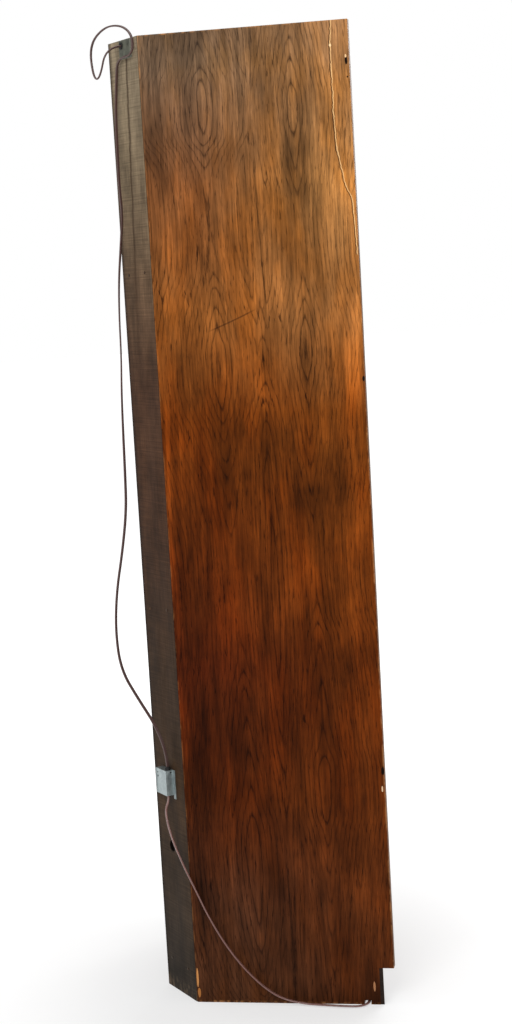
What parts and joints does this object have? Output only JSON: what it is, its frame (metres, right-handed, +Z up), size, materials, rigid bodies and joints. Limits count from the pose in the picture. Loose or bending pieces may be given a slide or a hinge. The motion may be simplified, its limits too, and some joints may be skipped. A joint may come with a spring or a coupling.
{
  "type": "corner grandfather clock",
  "caption": "Tall corner longcase clock with splayed veneered sides, glazed door, pendulum, a cable-wound movement and a mains-fed case lamp wired up the rear spine.",
  "frame": {"origin": "centre of the case's footprint at floor level", "axes": "+Z up, -Y out of the glazed front, +Y out of the narrow rear spine, +X to the right seen from the front"},
  "size_m": [0.65, 0.4309, 1.9563],
  "materials": {
    "oak_veneer": "satin, worn",
    "oak_frame": "satin",
    "spine_board": "dull, aged",
    "plain_board": "unfinished",
    "toe_board": "dull",
    "clear_glass": "clear",
    "brass": "polished",
    "brass_dial": "satin",
    "silvered": "satin",
    "black_steel": "satin black",
    "steel": "bright",
    "galvanised": "galvanised, dull",
    "green_plate": "aged",
    "black_rubber": "matte",
    "cord_brown": "soft vinyl",
    "plug_brown": "moulded",
    "white_enamel": "gloss",
    "lampholder": "matte",
    "lamp_glass": "phosphor-coated glass, opaque",
    "pitch_core": "potted"
  },
  "bodies": {
    "case": {"ballast_case": "galvanised", "ballast_core": "pitch_core", "ballast_cover": "galvanised", "bottom_board": "plain_board", "chapter_ring": "silvered", "cord_clamp": "black_rubber", "cord_coil": "cord_brown", "cord_grommet": "black_rubber", "cord_lower": "cord_brown", "cord_plate": "green_plate", "cord_upper": "cord_brown", "dial_plate": "brass_dial", "dial_surround": "plain_board", "front_stile_left": "oak_frame", "front_stile_right": "oak_frame", "head_rail": "oak_frame", "hinge_fixed_leaves": "brass", "hinge_pins": "brass", "lamp_channel": "white_enamel", "lamp_holders": "lampholder", "lamp_tube": "lamp_glass", "movement_back_plate": "brass", "movement_front_plate": "brass", "pendulum_cock": "brass", "plate_pillars": "brass", "plug": "plug_brown", "rear_nails": "steel", "seatboard": "plain_board", "side_panel_left": "oak_veneer", "side_panel_right": "oak_veneer", "sill_rail": "oak_frame", "spine_panel": "spine_board", "toe_board": "toe_board", "top_board": "plain_board"},
    "door": {"door_stile_knob": "oak_frame", "door_stile_hinge": "oak_frame", "door_rail_top": "oak_frame", "door_rail_bottom": "oak_frame", "door_glass": "clear_glass", "glass_stops": "oak_frame", "door_knob": "brass", "hinge_door_leaves": "brass"},
    "minute_arbor": {"centre_wheel": "brass", "cannon_pinion": "steel", "minute_hand": "black_steel"},
    "hour_pipe": {"hour_wheel": "brass", "hour_hand": "black_steel"},
    "motion_wheel": {"minute_wheel": "brass"},
    "great_wheel": {"great_wheel": "brass"},
    "third_arbor": {"third_wheel": "brass"},
    "escape_arbor": {"escape_wheel": "brass"},
    "anchor": {"anchor": "steel"},
    "pendulum": {"pendulum_rod": "brass", "pendulum_bob": "brass", "rating_nut": "brass"},
    "drum": {"cable_drum": "brass"},
    "weight": {"weight": "brass", "pulley_stirrup": "steel", "weight_cable": "steel"},
    "pulley": {"pulley": "brass"}
  },
  "joints": [
    {"name": "door_hinge", "type": "hinge", "parent": "case", "child": "door", "pos_m": [0.264, -0.16041, 0.988], "axis": [0, 0, 1], "range_deg": [0, 110]},
    {"name": "minute_hand_turn", "type": "hinge", "parent": "case", "child": "minute_arbor", "pos_m": [0, -0.09741, 1.6], "axis": [0, 1, 0], "continuous": true},
    {"name": "hour_hand_turn", "type": "hinge", "parent": "case", "child": "hour_pipe", "pos_m": [0, -0.11241, 1.6], "axis": [0, 1, 0], "continuous": true},
    {"name": "motion_wheel_turn", "type": "hinge", "parent": "case", "child": "motion_wheel", "pos_m": [-0.021, -0.10541, 1.6], "axis": [0, 1, 0], "continuous": true},
    {"name": "great_wheel_turn", "type": "hinge", "parent": "case", "child": "great_wheel", "pos_m": [0, -0.09191, 1.55625], "axis": [0, 1, 0], "continuous": true},
    {"name": "third_wheel_turn", "type": "hinge", "parent": "case", "child": "third_arbor", "pos_m": [0.0175, -0.07241, 1.62082], "axis": [0, 1, 0], "continuous": true},
    {"name": "escape_wheel_turn", "type": "hinge", "parent": "case", "child": "escape_arbor", "pos_m": [0, -0.06241, 1.63896], "axis": [0, 1, 0], "continuous": true},
    {"name": "pendulum_swing", "type": "hinge", "parent": "case", "child": "pendulum", "pos_m": [0, -0.02141, 1.66096], "axis": [0, 1, 0], "range_deg": [-3, 3]},
    {"name": "anchor_rock", "type": "hinge", "parent": "case", "child": "anchor", "pos_m": [0, -0.06241, 1.66096], "axis": [0, 1, 0], "range_deg": [-3, 3]},
    {"name": "winding_drum", "type": "hinge", "parent": "case", "child": "drum", "pos_m": [0, -0.07341, 1.55625], "axis": [0, 1, 0], "range_deg": [0, 5159.2]},
    {"name": "weight_fall", "type": "slide", "parent": "case", "child": "weight", "axis": [0, 0, -1], "range_m": [0, 0.72]},
    {"name": "pulley_turn", "type": "hinge", "parent": "weight", "child": "pulley", "pos_m": [0, -0.07321, 1.446], "axis": [0, 1, 0], "range_deg": [-2579.6, 0]}
  ],
  "couplings": [
    {"joint": "motion_wheel_turn", "follows": "minute_hand_turn", "ratio": -0.33333},
    {"joint": "hour_hand_turn", "follows": "minute_hand_turn", "ratio": 0.083333},
    {"joint": "great_wheel_turn", "follows": "minute_hand_turn", "ratio": -0.16667},
    {"joint": "third_wheel_turn", "follows": "minute_hand_turn", "ratio": -7.5},
    {"joint": "escape_wheel_turn", "follows": "minute_hand_turn", "ratio": 60},
    {"joint": "anchor_rock", "follows": "pendulum_swing", "ratio": 1},
    {"joint": "winding_drum", "follows": "weight_fall", "rad_per_m": 125},
    {"joint": "pulley_turn", "follows": "weight_fall", "rad_per_m": -62.5}
  ]
}
